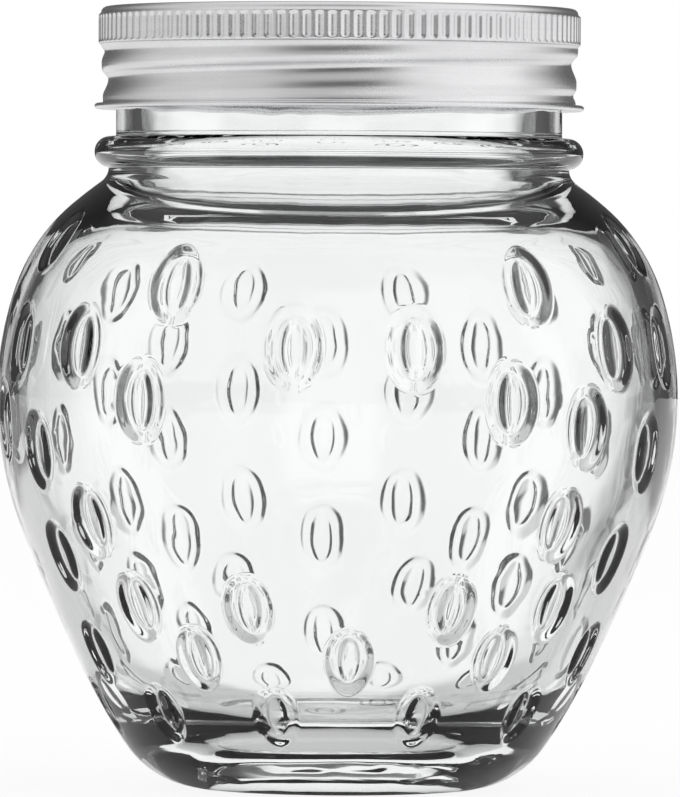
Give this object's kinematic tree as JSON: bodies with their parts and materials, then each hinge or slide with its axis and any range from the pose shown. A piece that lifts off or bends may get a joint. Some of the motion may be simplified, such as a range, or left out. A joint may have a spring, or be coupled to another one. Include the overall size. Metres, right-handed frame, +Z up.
{
  "type": "preserving jar",
  "caption": "Clear glass preserving jar shaped like a strawberry, with raised seeds in oval dimples, a collared neck and a two-piece metal screw lid.",
  "frame": {"origin": "middle of the base, on the surface the jar stands on", "axes": "+Z up through the mouth, -Y towards the front of the jar, +X to the right"},
  "size_m": [0.105, 0.105, 0.12],
  "materials": {
    "jar": "clear pressed glass, smooth and bright",
    "seal_ring": "soft pale sealing compound",
    "lid_disc": "satin tinned steel",
    "screw_band": "satin silver metal, fluted grip"
  },
  "bodies": {
    "root": {"jar": "jar", "seal_ring": "seal_ring", "lid_disc": "lid_disc", "screw_band": "screw_band"}
  },
  "joints": []
}
